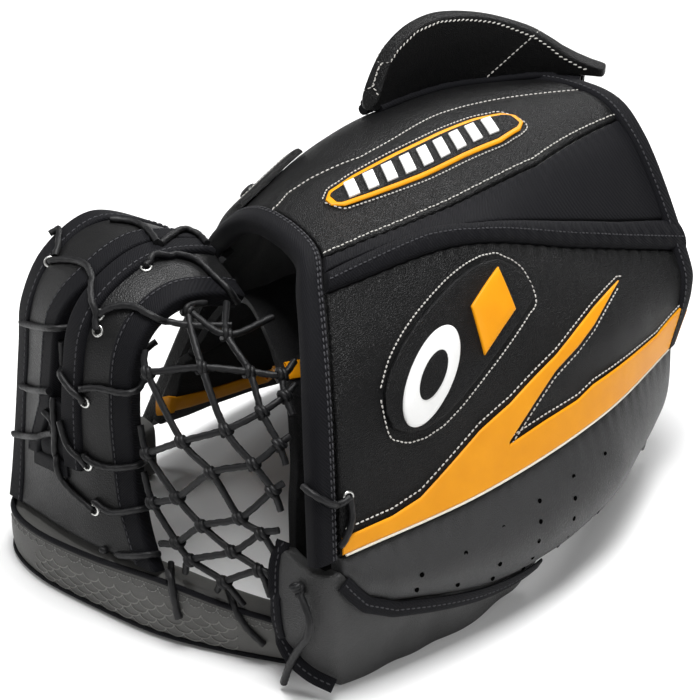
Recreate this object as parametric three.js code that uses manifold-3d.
import * as THREE from 'three';
import Module from 'manifold-3d';

// Catching glove for a hockey goalkeeper, lying palm down on the rim of its
// pocket. Millimetres. X runs from thumb to little finger, Y from the web to
// the wrist, Z up. Every shape is a share of the driving sizes below.

// Driving sizes
const GLOVE_WIDTH = 300;
const GLOVE_LENGTH = 400;
const GLOVE_HEIGHT = 250;
const GAP = 0.3;
const SHELL = 11;
const PALM_SHELL = 6;
const WEB_SHELL = 9;
const NYLON = 5;
const TAPE = 1.4;
const LIFT = 0.45;
const APPLIQUE = 1.3;
const BADGE = 2.2;
const BAR_DEPTH = 20;
const ROLL_BULGE = 7;
const LACE = 5;
const KNOT = 9.5;
const PAD = 12;
const CUFF_SHELL = 8;
const TAB_SHELL = 3;

const wasm = await Module();
wasm.setup();
const { Manifold, Mesh } = wasm;

const COLOURS = {
  leather: '#1b1b1d',
  soft: '#4b4a48',
  nylon: '#1f1f26',
  yellow: '#eaa00c',
  badge: '#e9e9e6',
  lace: '#141416',
  cloth: '#141417',
};

// Outer skin of the glove's back, one row for each line that runs from the
// open mouth to the wrist; y at mouth and wrist, x and z at four even stations
const BODY = [
  { name: 'foot', y: [0.02, 0.838], x: [-0.047, -0.007, -0.053, -0.177], z: [0.004, 0.005, 0.046, 0.034] },
  { name: 'belly', y: [0.005, 0.85], x: [-0.027, 0.027, 0.007, -0.133], z: [0.192, 0.184, 0.184, 0.2] },
  { name: 'seam', y: [0.02, 0.885], x: [-0.052, -0.017, -0.03, -0.133], z: [0.376, 0.366, 0.378, 0.36] },
  { name: 'chest', y: [0.075, 0.93], x: [-0.14, -0.1, -0.083, -0.14], z: [0.708, 0.66, 0.58, 0.5] },
  { name: 'band', y: [0.155, 0.95], x: [-0.273, -0.233, -0.2, -0.18], z: [0.904, 0.896, 0.748, 0.592] },
  { name: 'slope', y: [0.205, 0.96], x: [-0.367, -0.347, -0.347, -0.33], z: [0.964, 0.936, 0.924, 0.87] },
  { name: 'crown', y: [0.238, 0.965], x: [-0.55, -0.553, -0.56, -0.467], z: [0.964, 1.008, 0.996, 0.955] },
  { name: 'brow', y: [0.255, 0.97], x: [-0.69, -0.757, -0.763, -0.717], z: [0.87, 0.928, 0.93, 0.88] },
  { name: 'flank', y: [0.262, 0.97], x: [-0.8, -0.9, -0.9, -0.87], z: [0.68, 0.64, 0.62, 0.58] },
  { name: 'sole', y: [0.21, 0.97], x: [-0.973, -1, -1, -0.967], z: [0.15, 0.1, 0.05, 0.014] },
];

// Pocket leather, from its near foot over the ridge to the thumb side
const PALM = [
  { name: 'nearFoot', y: [0.0595, 0.8], x: [-0.2, -0.19, -0.2, -0.27], z: [0.05, 0.05, 0.05, 0.05] },
  { name: 'nearWall', y: [0.033, 0.82], x: [-0.2, -0.26, -0.27, -0.3], z: [0.34, 0.33, 0.27, 0.19] },
  { name: 'nearRise', y: [0.095, 0.84], x: [-0.28, -0.34, -0.35, -0.37], z: [0.6, 0.56, 0.44, 0.28] },
  { name: 'ridge', y: [0.1815, 0.86], x: [-0.53, -0.55, -0.56, -0.56], z: [0.738, 0.67, 0.53, 0.32] },
  { name: 'farRise', y: [0.27, 0.86], x: [-0.76, -0.765, -0.765, -0.75], z: [0.58, 0.55, 0.44, 0.28] },
  { name: 'farWall', y: [0.235, 0.86], x: [-0.855, -0.87, -0.87, -0.86], z: [0.36, 0.35, 0.28, 0.19] },
  { name: 'farFoot', y: [0.21, 0.86], x: [-0.89, -0.9, -0.9, -0.89], z: [0.2, 0.15, 0.08, 0.04] },
];

// Web panel: three lines from the bar, up over the arch and down to the
// crotch; right edge, slot edge and left edge
const WEB = [
  { name: 'right', x: [-0.445, -0.51, -0.545, -0.55, -0.55, -0.55, -0.55, -0.55, -0.55],
    y: [-0.095, -0.078, -0.062, -0.06, -0.05, -0.012, 0.055, 0.15, 0.22],
    z: [0.194, 0.3, 0.44, 0.58, 0.712, 0.796, 0.824, 0.776, 0.712] },
  { name: 'slot', x: [-0.693, -0.707, -0.717, -0.717, -0.717, -0.717, -0.717, -0.717, -0.717],
    y: [-0.112, -0.1, -0.095, -0.088, -0.068, -0.015, 0.075, 0.18, 0.25],
    z: [0.178, 0.29, 0.448, 0.596, 0.752, 0.836, 0.876, 0.836, 0.768] },
  { name: 'left', x: [-0.933, -0.947, -0.95, -0.95, -0.95, -0.95, -0.95, -0.94, -0.9],
    y: [-0.09, -0.072, -0.055, -0.038, -0.025, 0.025, 0.12, 0.225, 0.28],
    z: [0.146, 0.22, 0.368, 0.56, 0.688, 0.8, 0.848, 0.768, 0.7] },
];

// Perimeter bar under the web: outer line on the floor and height of the top
const BAR = [
  { x: -0.165, y: 0.008, top: 0.12 },
  { x: -0.293, y: -0.045, top: 0.148 },
  { x: -0.437, y: -0.092, top: 0.18 },
  { x: -0.603, y: -0.115, top: 0.162 },
  { x: -0.77, y: -0.127, top: 0.15 },
  { x: -0.89, y: -0.108, top: 0.136 },
  { x: -0.955, y: -0.06, top: 0.13 },
  { x: -0.983, y: 0.0, top: 0.13 },
  { x: -0.985, y: 0.08, top: 0.13 },
  { x: -0.965, y: 0.2105, top: 0.17 },
];

// Front edge of the pouch at the near corner, from the floor up
const POUCH_EDGE = [
  { x: -0.067, y: 0.012, z: 0.006 },
  { x: -0.107, y: -0.012, z: 0.032 },
  { x: -0.14, y: -0.032, z: 0.1 },
  { x: -0.167, y: -0.035, z: 0.172 },
  { x: -0.183, y: -0.022, z: 0.24 },
  { x: -0.2, y: 0.002, z: 0.34 },
];

// Where the pouch ends and the perforated roll begins, as a row number
const POUCH_TOP = [
  { along: 0.0, row: 1.86 },
  { along: 0.05, row: 1.4 },
  { along: 0.11, row: 1.14 },
  { along: 0.21, row: 0.93 },
  { along: 0.32, row: 0.7 },
  { along: 0.45, row: 0.45 },
  { along: 0.57, row: 0.28 },
  { along: 0.75, row: 0.12 },
  { along: 1.0, row: 0.0 },
];

// Edges that carry the near net: stem edge and pocket edge, bar to crotch
const NEAR_NET_RAILS = {
  stem: {
    x: [-0.425, -0.485, -0.52, -0.537, -0.54, -0.54, -0.54, -0.54, -0.54, -0.54, -0.54],
    y: [-0.08, -0.07, -0.058, -0.05, -0.048, -0.042, -0.02, 0.02, 0.08, 0.145, 0.2],
    z: [0.2, 0.3, 0.42, 0.54, 0.63, 0.7, 0.76, 0.79, 0.795, 0.76, 0.715],
  },
  pocket: {
    x: [-0.207, -0.2, -0.203, -0.207, -0.213, -0.233, -0.28, -0.347, -0.433, -0.5, -0.533],
    y: [-0.01, -0.02, -0.0075, 0.0075, 0.02, 0.05, 0.095, 0.1375, 0.175, 0.2, 0.225],
    z: [0.112, 0.2, 0.296, 0.4, 0.5, 0.6, 0.688, 0.752, 0.784, 0.776, 0.744],
  },
};
const NEAR_NET_KNOTS = {
  c0: [0.15, 0.06], d0: [0.099, 0.242], e0: [0.075, 0.34], f0: [0.07, 0.62],
  b1: [0.251, 0.06], c1: [0.212, 0.31], d1: [0.189, 0.504], e1: [0.173, 0.725], f1: [0.163, 0.91],
  a2: [0.5, 0.07], b2: [0.373, 0.383], c2: [0.339, 0.587], d2: [0.264, 0.769], e2: [0.254, 0.905],
  z3: [0.754, 0.05], a3: [0.593, 0.445], b3: [0.47, 0.657], c3: [0.417, 0.831], d3: [0.373, 0.95],
  z4: [0.701, 0.548], a4: [0.613, 0.742], b4: [0.534, 0.84], c4: [0.478, 0.95],
  a5: [0.617, 0.925], b5: [0.574, 0.95],
};
const NEAR_NET_ENDS = {
  sd: [0.06, 0.03], se: [0.018, 0.2], sf: [0.019, 0.5], tf: [0.018, 0.74],
  s0: [0.2, 0.01], s1: [0.3, 0.01], s2: [0.56, 0.01], s3: [0.82, 0.01], s4: [0.84, 0.3],
  mz: [0.76, 0.9], ma: [0.65, 1], mb: [0.6, 1], m5: [0.54, 1], mc: [0.5, 1],
  m4: [0.44, 1], md: [0.4, 1], m3: [0.33, 1], me: [0.28, 1], m2: [0.22, 1],
  mf: [0.16, 1], m1: [0.11, 1],
};
const NEAR_NET_STRANDS = [
  'c0 c1 c2 c3 c4 mc', 'sd d0 d1 d2 d3 md', 'se e0 e1 e2 me', 'sf f0 f1 mf', 'b1 b2 b3 b4 b5 mb',
  'a2 a3 a4 a5 ma', 'z3 z4 mz', 's0 c0 d0 e0 f0 tf', 's1 b1 c1 d1 e1 f1 m1', 's2 a2 b2 c2 d2 e2 m2',
  's3 z3 a3 b3 c3 d3 m3', 's4 z4 a4 b4 c4 m4', 'a5 b5 m5',
];

// Edges that carry the far net, between the far stem and the thumb
const FAR_NET_RAILS = {
  stem: {
    x: [-0.956, -0.961, -0.962, -0.963, -0.967, -0.967],
    y: [-0.075, -0.046, -0.03, -0.012, 0.03, 0.12],
    z: [0.17, 0.34, 0.52, 0.69, 0.79, 0.83],
  },
  thumb: {
    x: [-0.955, -0.93, -0.9, -0.868, -0.833, -0.79],
    y: [0.2, 0.212, 0.222, 0.232, 0.243, 0.25],
    z: [0.18, 0.3, 0.42, 0.53, 0.63, 0.7],
  },
};
const FAR_NET_ROWS = 5;
const FAR_NET_COLUMNS = 3;

// Pad that stands over the wrist: its line in plan and the height of its rim
const PAD_PLAN = {
  x: [-0.725, -0.74, -0.713, -0.627, -0.51],
  y: [0.59, 0.725, 0.8625, 0.965, 1.02],
};
const PAD_RIM = [
  { along: 0.0, z: 1.0 },
  { along: 0.015, z: 1.06 },
  { along: 0.042, z: 1.105 },
  { along: 0.109, z: 1.144 },
  { along: 0.202, z: 1.172 },
  { along: 0.302, z: 1.177 },
  { along: 0.397, z: 1.162 },
  { along: 0.532, z: 1.131 },
  { along: 0.689, z: 1.075 },
  { along: 0.797, z: 1.02 },
  { along: 0.89, z: 0.992 },
  { along: 1.0, z: 0.976 },
];

// Two-pronged yellow slash: row numbers of its upper edge, of the open wedge
// between its prongs and of its lower prong, at shares along
const SLASH_TOP = [
  { along: 0.0, row: 2.16 },
  { along: 0.114, row: 2.17 },
  { along: 0.178, row: 2.22 },
  { along: 0.245, row: 2.36 },
  { along: 0.32, row: 2.52 },
  { along: 0.397, row: 2.63 },
  { along: 0.518, row: 2.9 },
  { along: 0.642, row: 3.29 },
  { along: 0.736, row: 3.56 },
];
const SLASH_WEDGE = [
  { along: 0.39, row: 2.32 },
  { along: 0.443, row: 2.5 },
  { along: 0.516, row: 2.76 },
  { along: 0.577, row: 2.91 },
  { along: 0.632, row: 3.09 },
  { along: 0.736, row: 3.54 },
];
const SLASH_LOW = [
  { along: 0.39, row: 2.31 },
  { along: 0.488, row: 2.36 },
  { along: 0.583, row: 2.39 },
  { along: 0.628, row: 2.46 },
  { along: 0.742, row: 2.5 },
  { along: 0.867, row: 2.54 },
  { along: 0.964, row: 2.74 },
  { along: 1.0, row: 2.62 },
];
const SLASH_NOTCH = 0.39;
const SLASH_TIP = 0.736;
const SLASH_FOOT = 2.03;

// Crest on the finger panel and long badge on the knuckle panel
const CREST = [
  { along: 0.105, low: 2.86, high: 3.0 },
  { along: 0.12, low: 2.74, high: 3.14 },
  { along: 0.15, low: 2.68, high: 3.3 },
  { along: 0.19, low: 2.67, high: 3.43 },
  { along: 0.235, low: 2.71, high: 3.54 },
  { along: 0.28, low: 2.8, high: 3.64 },
  { along: 0.325, low: 2.92, high: 3.72 },
  { along: 0.37, low: 3.05, high: 3.78 },
  { along: 0.41, low: 3.18, high: 3.8 },
  { along: 0.45, low: 3.32, high: 3.72 },
  { along: 0.48, low: 3.44, high: 3.58 },
];
const LONG_BADGE = [
  { along: 0.1, low: 5.5, high: 5.6 },
  { along: 0.125, low: 5.42, high: 5.7 },
  { along: 0.2, low: 5.4, high: 5.75 },
  { along: 0.34, low: 5.38, high: 5.77 },
  { along: 0.48, low: 5.38, high: 5.77 },
  { along: 0.6, low: 5.36, high: 5.76 },
  { along: 0.675, low: 5.42, high: 5.72 },
  { along: 0.7, low: 5.5, high: 5.64 },
];

// Cuff that closes the heel of the glove, standing on the floor
const CUFF = {
  x: [-0.211, -0.3, -0.5, -0.68, -0.83, -0.905],
  y: [0.828, 0.905, 0.955, 0.962, 0.952, 0.935],
  top: [0.17, 0.19, 0.22, 0.22, 0.19, 0.17],
};

// Free lace ends: one hangs from the knot at the near corner, one lies on
// the bar below the web
const LACE_TAIL = [
  { x: -0.103, y: -0.0322, z: 0.302 },
  { x: -0.073, y: -0.0387, z: 0.272 },
  { x: -0.057, y: -0.0422, z: 0.24 },
  { x: -0.06, y: -0.0447, z: 0.196 },
  { x: -0.083, y: -0.0462, z: 0.148 },
  { x: -0.107, y: -0.0472, z: 0.088 },
  { x: -0.128, y: -0.0462, z: 0.018 },
];
const LACE_END = [
  { x: -0.4233, y: -0.08, z: 0.198 },
  { x: -0.4033, y: -0.0863, z: 0.188 },
  { x: -0.3917, y: -0.09, z: 0.152 },
  { x: -0.386, y: -0.0903, z: 0.118 },
  { x: -0.383, y: -0.0893, z: 0.088 },
];

// Pull tab that hangs at the wrist end of the roll
const PULL_TAB = [
  { x: -0.18, y: 0.8515, z: 0.2 },
  { x: -0.138, y: 0.8515, z: 0.2 },
  { x: -0.16, y: 0.8445, z: 0.016 },
];

// Helpers
function through(values, share) {
  const last = values.length - 1;
  const place = share * last;
  const i = Math.max(0, Math.min(last - 1, Math.floor(place)));
  const f = place - i;
  const b = values[i];
  const c = values[i + 1];
  const a = i > 0 ? values[i - 1] : 2 * b - c;
  const d = i + 2 <= last ? values[i + 2] : 2 * c - b;
  if (f < 0) {
    return b + (c - a) * 0.5 * f;
  }
  if (f > 1) {
    return c + (d - b) * 0.5 * (f - 1);
  }
  return 0.5 * (2 * b + (c - a) * f + (2 * a - 5 * b + 4 * c - d) * f * f
    + (3 * b - a - 3 * c + d) * f * f * f);
}

function lookUp(table, key, value) {
  for (let i = 1; i < table.length; i += 1) {
    if (table[i].along >= value || i === table.length - 1) {
      const span = table[i].along - table[i - 1].along;
      const f = (value - table[i - 1].along) / span;
      return table[i - 1][key] + (table[i][key] - table[i - 1][key]) * f;
    }
  }
  return table[0][key];
}

function sized(x, y, z) {
  return new THREE.Vector3(x * GLOVE_WIDTH, y * GLOVE_LENGTH, z * GLOVE_HEIGHT);
}

function skin(rows) {
  return (row, along) => {
    const share = row / (rows.length - 1);
    const x = through(rows.map((r) => through(r.x, along)), share);
    const y = through(rows.map((r) => r.y[0] + (r.y[1] - r.y[0]) * along), share);
    const z = through(rows.map((r) => through(r.z, along)), share);
    return sized(x, y, z);
  };
}

const body = skin(BODY);
const palm = skin(PALM);

function web(across, up) {
  const share = across / 2;
  const x = through(WEB.map((r) => through(r.x, up)), share);
  const y = through(WEB.map((r) => through(r.y, up)), share);
  const z = through(WEB.map((r) => through(r.z, up)), share);
  return sized(x, y, z);
}

function railPoint(rail, share) {
  return sized(through(rail.x, share), through(rail.y, share), through(rail.z, share));
}

function pouchTop(along) {
  return lookUp(POUCH_TOP, 'row', along);
}

// Skin of the pouch: share 0 is the floor, 1 its upper edge; turn -1 is the
// front edge, 0 the corner, 1 the end along the side
const POUCH_LENGTH = 0.5;
function pouch(share, turn) {
  if (turn >= 0) {
    const along = turn * POUCH_LENGTH;
    return body(share * pouchTop(along), along);
  }
  const corner = body(share * pouchTop(0), 0);
  const behind = body(share * pouchTop(0), 0.04);
  const x = through(POUCH_EDGE.map((p) => p.x), share);
  const y = through(POUCH_EDGE.map((p) => p.y), share);
  const z = through(POUCH_EDGE.map((p) => p.z), share);
  const edge = sized(x, y, z);
  const reach = edge.distanceTo(corner) * 0.5;
  const bend = corner.clone().add(corner.clone().sub(behind).normalize().multiplyScalar(reach));
  const f = -turn;
  return corner.clone().multiplyScalar((1 - f) * (1 - f))
    .add(bend.multiplyScalar(2 * f * (1 - f)))
    .add(edge.multiplyScalar(f * f));
}

function normalOf(surface, a, b) {
  const step = 0.004;
  const da = surface(a + step, b).sub(surface(a - step, b));
  const db = surface(a, b + step).sub(surface(a, b - step));
  return db.cross(da).normalize();
}

function steps(from, to, count) {
  return Array.from({ length: count + 1 }, (unused, i) => from + (to - from) * i / count);
}

function orient(geometry) {
  const p = geometry.getAttribute('position');
  const index = geometry.getIndex().array;
  const a = new THREE.Vector3();
  const b = new THREE.Vector3();
  const c = new THREE.Vector3();
  let volume = 0;
  for (let i = 0; i < index.length; i += 3) {
    a.fromBufferAttribute(p, index[i]);
    b.fromBufferAttribute(p, index[i + 1]);
    c.fromBufferAttribute(p, index[i + 2]);
    volume += a.dot(b.cross(c));
  }
  if (volume < 0) {
    for (let i = 0; i < index.length; i += 3) {
      const keep = index[i + 1];
      index[i + 1] = index[i + 2];
      index[i + 2] = keep;
    }
  }
  return geometry;
}

function solid(points, faces) {
  const geometry = new THREE.BufferGeometry();
  const flat = points.flatMap((p) => [p.x, p.y, p.z]);
  geometry.setAttribute('position', new THREE.Float32BufferAttribute(flat, 3));
  geometry.setIndex(faces.flat());
  return orient(geometry);
}

// A sheet with thickness over a grid of surface shares. Cells that keep()
// turns down are left out and their edges are walled.
function sheet(surface, aList, bList, high, low, keep = () => true) {
  const points = [];
  const faces = [];
  const ids = new Map();
  const level = (value, a, b) => (typeof value === 'function' ? value(a, b) : value);
  function id(i, j, side) {
    const key = `${i},${j},${side}`;
    if (!ids.has(key)) {
      const a = typeof aList === 'function' ? aList(j)[i] : aList[i];
      const b = bList[j];
      const n = normalOf(surface, a, b);
      const h = side === 0 ? level(high, a, b) : level(low, a, b);
      points.push(surface(a, b).add(n.multiplyScalar(h)));
      ids.set(key, points.length - 1);
    }
    return ids.get(key);
  }
  const columns = (typeof aList === 'function' ? aList(0) : aList).length - 1;
  const rows = bList.length - 1;
  const kept = (i, j) => i >= 0 && j >= 0 && i < columns && j < rows && keep(i, j);
  function quad(p, q, r, s) {
    faces.push([p, q, r], [p, r, s]);
  }
  for (let i = 0; i < columns; i += 1) {
    for (let j = 0; j < rows; j += 1) {
      if (kept(i, j)) {
        quad(id(i, j, 0), id(i + 1, j, 0), id(i + 1, j + 1, 0), id(i, j + 1, 0));
        quad(id(i, j, 1), id(i, j + 1, 1), id(i + 1, j + 1, 1), id(i + 1, j, 1));
        if (!kept(i - 1, j)) {
          quad(id(i, j, 0), id(i, j + 1, 0), id(i, j + 1, 1), id(i, j, 1));
        }
        if (!kept(i + 1, j)) {
          quad(id(i + 1, j + 1, 0), id(i + 1, j, 0), id(i + 1, j, 1), id(i + 1, j + 1, 1));
        }
        if (!kept(i, j - 1)) {
          quad(id(i + 1, j, 0), id(i, j, 0), id(i, j, 1), id(i + 1, j, 1));
        }
        if (!kept(i, j + 1)) {
          quad(id(i, j + 1, 0), id(i + 1, j + 1, 0), id(i + 1, j + 1, 1), id(i, j + 1, 1));
        }
      }
    }
  }
  return solid(points, faces);
}

// A bar swept along level stations, each a ring of points
function sweep(rings) {
  const size = rings[0].length;
  const points = rings.flat();
  const faces = [];
  for (let k = 0; k + 1 < rings.length; k += 1) {
    for (let i = 0; i < size; i += 1) {
      const j = (i + 1) % size;
      const p = k * size;
      const q = p + size;
      faces.push([p + i, p + j, q + j], [p + i, q + j, q + i]);
    }
  }
  const end = (rings.length - 1) * size;
  for (let i = 1; i + 1 < size; i += 1) {
    faces.push([0, i + 1, i], [end, end + i, end + i + 1]);
  }
  return solid(points, faces);
}

function tubeRings(path, radius, sides) {
  const rings = [];
  let across = new THREE.Vector3(0.3, 1, 0.2);
  for (let k = 0; k < path.length; k += 1) {
    const before = path[Math.max(0, k - 1)];
    const after = path[Math.min(path.length - 1, k + 1)];
    const dir = after.clone().sub(before).normalize();
    across = across.sub(dir.clone().multiplyScalar(across.dot(dir))).normalize();
    const up = dir.clone().cross(across);
    const ring = [];
    for (let i = 0; i < sides; i += 1) {
      const angle = (i + 0.5) / sides * Math.PI * 2;
      ring.push(path[k].clone()
        .add(across.clone().multiplyScalar(Math.cos(angle) * radius))
        .add(up.clone().multiplyScalar(Math.sin(angle) * radius)));
    }
    rings.push(ring);
  }
  return rings;
}

function toManifold(geometry) {
  const mesh = new Mesh({
    numProp: 3,
    vertProperties: new Float32Array(geometry.getAttribute('position').array),
    triVerts: new Uint32Array(geometry.getIndex().array),
  });
  return new Manifold(mesh);
}

function fromManifold(shape) {
  const mesh = shape.getMesh();
  const geometry = new THREE.BufferGeometry();
  geometry.setAttribute('position', new THREE.Float32BufferAttribute(Array.from(mesh.vertProperties), 3));
  geometry.setIndex(Array.from(mesh.triVerts));
  return geometry;
}

function knotBall(centre, radius) {
  const points = [[1, 0, 0], [-1, 0, 0], [0, 1, 0], [0, -1, 0], [0, 0, 1], [0, 0, -1]]
    .map(([x, y, z]) => new THREE.Vector3(x, y, z).multiplyScalar(radius).add(centre));
  const faces = [[0, 2, 4], [2, 1, 4], [1, 3, 4], [3, 0, 4], [2, 0, 5], [1, 2, 5], [3, 1, 5], [0, 3, 5]];
  return solid(points, faces);
}

// A net: laces from knot to knot, joined to one body
function net(place, knots, ends, strands) {
  const parts = [];
  const spot = (name) => place(...(knots[name] || ends[name]));
  for (const line of strands) {
    const names = line.split(' ');
    for (let i = 0; i + 1 < names.length; i += 1) {
      const path = [spot(names[i]), spot(names[i + 1])];
      parts.push(toManifold(sweep(tubeRings(path, LACE / 2, 4))));
    }
  }
  for (const name of Object.keys(knots)) {
    parts.push(toManifold(knotBall(spot(name), KNOT / 2)));
  }
  return fromManifold(Manifold.union(parts));
}

function ruled(rails, first, second, belly) {
  return (up, over) => {
    const p = railPoint(rails[first], up);
    const q = railPoint(rails[second], up);
    const out = belly * 4 * over * (1 - over) * Math.sin(Math.PI * up);
    return p.lerp(q, over).add(new THREE.Vector3(0, -out, 0));
  };
}

const glove = new THREE.Group();
glove.name = 'goalie_catcher';

function add(name, geometry, colour) {
  const material = new THREE.MeshStandardMaterial({ color: colour, roughness: 0.6 });
  material.name = name;
  const mesh = new THREE.Mesh(geometry, material);
  mesh.name = name;
  glove.add(mesh);
  return mesh;
}

// Half of the gap between two neighbours, as rows and as shares along
const ROW_GAP = GAP / 2 / 48;
const ALONG_GAP = GAP / 2 / 330;
const MOUTH = 0.003;
const LIP = -0.056;

// Panels of the back
const backPanels = [
  { name: 'finger_panel', from: 2, to: 4, rows: 14, inner: -SHELL, outer: 0, colour: COLOURS.leather },
  { name: 'gusset_panel', from: 4, to: 5, rows: 5, inner: -NYLON, outer: -0.5, colour: COLOURS.nylon },
  { name: 'knuckle_panel', from: 5, to: 7.3, rows: 9, inner: -SHELL, outer: 0, colour: COLOURS.leather },
  { name: 'thumb_back', from: 7.3, to: 9, rows: 7, inner: -SHELL, outer: 0, colour: COLOURS.leather },
];
for (const panel of backPanels) {
  const rows = steps(panel.from + ROW_GAP, panel.to - ROW_GAP, panel.rows);
  const along = steps(MOUTH, 1, 16);
  add(panel.name, sheet(body, rows, along, panel.outer, panel.inner), panel.colour);
}

// Strap over the thumb side of the mouth
const STRAP_ROWS = { from: 6.85, to: 8.3 };
const STRAP_ALONG = { from: 0.02, to: 0.25 };
const strapRows = steps(STRAP_ROWS.from, STRAP_ROWS.to, 6);
add('side_strap', sheet(body, strapRows, steps(STRAP_ALONG.from, STRAP_ALONG.to, 4), 6, 1), COLOURS.leather);

// Perforated roll under the finger panel
const rollRows = 7;
const pouchAlong = [...POUCH_TOP.map((p) => p.along).filter((along) => along < POUCH_LENGTH), POUCH_LENGTH];
const rollAlong = [...pouchAlong, ...steps(POUCH_LENGTH, 1, 7).slice(1)];
function rollLines(j) {
  const bottom = pouchTop(rollAlong[j]) + ROW_GAP * 2;
  return steps(bottom, 2 - ROW_GAP, rollRows);
}
function rollOut(row, along) {
  const bottom = pouchTop(along);
  const share = Math.min(1, Math.max(0, (row - bottom) / (2 - bottom)));
  return ROLL_BULGE * Math.sin(Math.PI * share) * Math.min(1, (2 - bottom) * 1.2);
}
add('side_roll', sheet(body, rollLines, rollAlong, rollOut, -SHELL), COLOURS.soft);

// Pouch round the near corner
const pouchTurns = [...steps(-1, 0, 6), ...pouchAlong.slice(1).map((along) => along / POUCH_LENGTH)];
add('pouch', sheet(pouch, steps(0, 1, 6), pouchTurns, 0, -SHELL), COLOURS.leather);

// Tape round the mouth
const TAPE_END_ROW = 7.9;
const tapeRows = steps(2, TAPE_END_ROW, 24);
add('mouth_binding', sheet(body, tapeRows, [LIP, LIP / 2, 0], TAPE, -SHELL - TAPE), COLOURS.nylon);

// Pocket leather and the inner thumb panel
const THUMB_ROW = 4.8;
add('palm', sheet(palm, steps(0, THUMB_ROW, 12), steps(0, 1, 10), 0, -PALM_SHELL), COLOURS.leather);
const thumbRows = steps(THUMB_ROW + ROW_GAP * 2, 6, 5);
const thumbAlong = steps(-0.03, 0.8, 9);
function thumbIn(row) {
  return -PALM_SHELL - 7 * Math.sin(Math.PI * Math.min(1, (row - THUMB_ROW) / 1.3));
}
add('thumb_panel', sheet(palm, thumbRows, thumbAlong, 0, thumbIn), COLOURS.soft);

// Web: one panel with a slot between its two stems
const SLOT_FOOT = 0.17;
const WEB_END = 0.925;
const webUp = steps(0, WEB_END, 20);
const SLOT_FAR = [
  { along: 0.0, across: 1.5 },
  { along: 0.2, across: 1.5 },
  { along: 0.3, across: 1.24 },
  { along: 0.5, across: 1.2 },
  { along: 0.62, across: 1.07 },
  { along: 1.0, across: 1.05 },
];
function slotFar(up) {
  return lookUp(SLOT_FAR, 'across', up);
}
function webLines(j) {
  const far = slotFar(webUp[j]);
  return [...steps(0, 1.0, 4), far, (far + 2) / 2, 2];
}
const slotStart = webUp.findIndex((up) => up >= SLOT_FOOT);
const slotFoot = webUp[slotStart];
const keepWeb = (i, j) => !(i === 4 && j >= slotStart);
add('web_panel', sheet(web, webLines, webUp, 0, -WEB_SHELL, keepWeb), COLOURS.soft);

// Gathered cloth in the foot of the slot
const clothTop = SLOT_FOOT + 0.15;
const clothLow = slotFoot + 0.004;
const cloth = (share, up) => web(1.01 + share * (slotFar(up) - 1.02), up);
add('slot_cloth', sheet(cloth, steps(0.02, 0.98, 4), steps(clothLow, clothTop, 4), -1, -5), COLOURS.cloth);

// Perimeter bar, flat on the floor
function barRing(share) {
  const at = (s) => sized(through(BAR.map((b) => b.x), s), through(BAR.map((b) => b.y), s), 0);
  const top = through(BAR.map((b) => b.top), share) * GLOVE_HEIGHT;
  const dir = at(share + 0.01).sub(at(share - 0.01)).normalize();
  const inward = new THREE.Vector3(dir.y, -dir.x, 0);
  const origin = at(share);
  const ring = [
    [0, 0], [-1.5, 0.3], [-1.5, 0.75], [1, 1], [BAR_DEPTH - 2, 1], [BAR_DEPTH, 0.85], [BAR_DEPTH, 0],
  ];
  return ring.map(([step, rise]) => origin.clone()
    .add(inward.clone().multiplyScalar(step))
    .add(new THREE.Vector3(0, 0, rise * top)));
}
add('t_bar', sweep(steps(0, 1, 26).map(barRing)), COLOURS.soft);

// Nets
const nearNet = ruled(NEAR_NET_RAILS, 'stem', 'pocket', 10);
add('net_near', net(nearNet, NEAR_NET_KNOTS, NEAR_NET_ENDS, NEAR_NET_STRANDS), COLOURS.lace);

const farNet = ruled(FAR_NET_RAILS, 'stem', 'thumb', 0);
const farKnots = {};
const farEnds = {};
const farStrands = [];
for (let i = 1; i <= FAR_NET_ROWS; i += 1) {
  const names = [];
  for (let j = 0; j <= FAR_NET_COLUMNS + 1; j += 1) {
    const inside = j > 0 && j <= FAR_NET_COLUMNS;
    const share = j / (FAR_NET_COLUMNS + 1);
    const over = inside ? share : Math.min(0.97, Math.max(0.03, share));
    const lean = 0.05 * (j % 2 === 0 ? 1 : -1);
    (inside ? farKnots : farEnds)[`k${i}${j}`] = [i / (FAR_NET_ROWS + 0.6) + lean, over];
    names.push(`k${i}${j}`);
  }
  farStrands.push(names.join(' '));
}
for (let j = 1; j <= FAR_NET_COLUMNS; j += 1) {
  const names = Array.from({ length: FAR_NET_ROWS }, (unused, i) => `k${i + 1}${j}`);
  farEnds[`f${j}`] = [0.01, j / (FAR_NET_COLUMNS + 1)];
  farStrands.push([`f${j}`, ...names].join(' '));
}
add('net_far', net(farNet, farKnots, farEnds, farStrands), COLOURS.lace);

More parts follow.
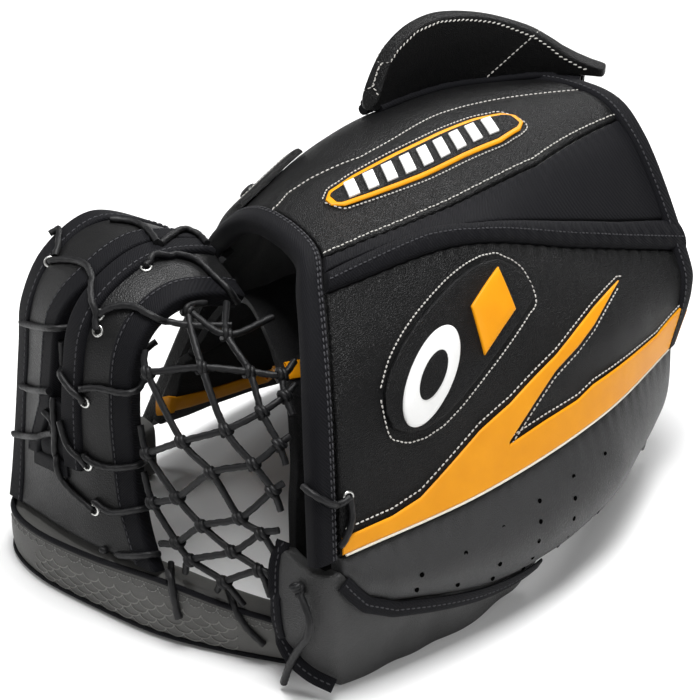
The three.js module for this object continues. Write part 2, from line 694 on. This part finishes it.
// Wrist pad
function backHeight(x, y) {
  let best = 0;
  for (let row = 5.5; row <= 8.4; row += 0.02) {
    const near = body(row, 0).y;
    const far = body(row, 1).y;
    const p = body(row, Math.min(1, (y - near) / (far - near)));
    if (Math.abs(p.x - x) < 2.5) {
      best = Math.max(best, p.z);
    }
  }
  return best;
}
function padBase(along) {
  const x = through(PAD_PLAN.x, along) * GLOVE_WIDTH;
  const y = through(PAD_PLAN.y, along) * GLOVE_LENGTH;
  const heights = [-PAD / 2 - 1, 0, PAD / 2 + 1].map((step) => backHeight(x + step, y));
  return (Math.max(...heights) + GAP * 1.5) / GLOVE_HEIGHT;
}
function pad(rise, along) {
  const rim = lookUp(PAD_RIM, 'z', along);
  const base = padBase(along);
  return sized(through(PAD_PLAN.x, along), through(PAD_PLAN.y, along), base + (rim - base) * rise);
}
add('wrist_pad', sheet(pad, steps(0, 1, 4), steps(0, 0.985, 16), PAD / 2, -PAD / 2), COLOURS.leather);

// Cuff under the hand opening
function cuff(rise, along) {
  const flare = 0.02 * rise * rise;
  const p = sized(through(CUFF.x, along), through(CUFF.y, along) + flare, 0);
  p.z = rise * through(CUFF.top, along) * GLOVE_HEIGHT;
  return p;
}
add('cuff', sheet(cuff, steps(0, 1, 3), steps(0, 1, 14), 0, -CUFF_SHELL), COLOURS.leather);

// Slash: one strip up to the notch, then two prongs
const slashAlong = [...steps(MOUTH, SLASH_NOTCH, 7), ...steps(SLASH_NOTCH, SLASH_TIP, 6).slice(1),
  ...steps(SLASH_TIP, 1, 5).slice(1)];
function slashLines(j) {
  const along = slashAlong[j];
  if (along <= SLASH_NOTCH) {
    return steps(SLASH_FOOT, lookUp(SLASH_TOP, 'row', along), 5);
  }
  const low = steps(SLASH_FOOT, lookUp(SLASH_LOW, 'row', along), 2);
  return [...low, ...steps(lookUp(SLASH_WEDGE, 'row', along), lookUp(SLASH_TOP, 'row', along), 2)];
}
function keepSlash(i, j) {
  const start = slashAlong[j];
  const open = i === 2 && start >= SLASH_NOTCH - 1e-6;
  const past = i > 2 && start >= SLASH_TIP - 1e-6;
  return !(open || past);
}
add('slash', sheet(body, slashLines, slashAlong, LIFT + APPLIQUE, LIFT, keepSlash), COLOURS.yellow);

// Badges, each a strip between two edges
function strip(table, cells, cuts) {
  const first = table[0].along;
  const last = table[table.length - 1].along;
  const along = steps(first, last, cuts);
  const lines = (j) => steps(lookUp(table, 'low', along[j]), lookUp(table, 'high', along[j]), cells);
  return sheet(body, lines, along, LIFT + BADGE, LIFT);
}
add('crest', strip(CREST, 5, 14), COLOURS.badge);
add('long_badge', strip(LONG_BADGE, 2, 14), COLOURS.badge);

// Free lace ends and the pull tab
function cordPath(table, cuts) {
  const rail = { x: table.map((p) => p.x), y: table.map((p) => p.y), z: table.map((p) => p.z) };
  return steps(0, 1, cuts).map((share) => railPoint(rail, share));
}
add('lace_tail', sweep(tubeRings(cordPath(LACE_TAIL, 14), LACE / 2, 6)), COLOURS.lace);
add('lace_end', sweep(tubeRings(cordPath(LACE_END, 6), LACE / 2, 6)), COLOURS.lace);
const tabFront = PULL_TAB.map((p) => sized(p.x, p.y, p.z));
const tabBack = tabFront.map((p) => p.clone().add(new THREE.Vector3(0, TAB_SHELL, 0)));
add('pull_tab', sweep([tabFront, tabBack]), COLOURS.soft);

const box = new THREE.Box3().setFromObject(glove);
const shift = new THREE.Vector3(-(box.min.x + box.max.x) / 2, -(box.min.y + box.max.y) / 2, -box.min.z);
for (const mesh of glove.children) {
  mesh.geometry.translate(shift.x, shift.y, shift.z);
}
glove.userData.shift = shift.toArray();

export default glove;
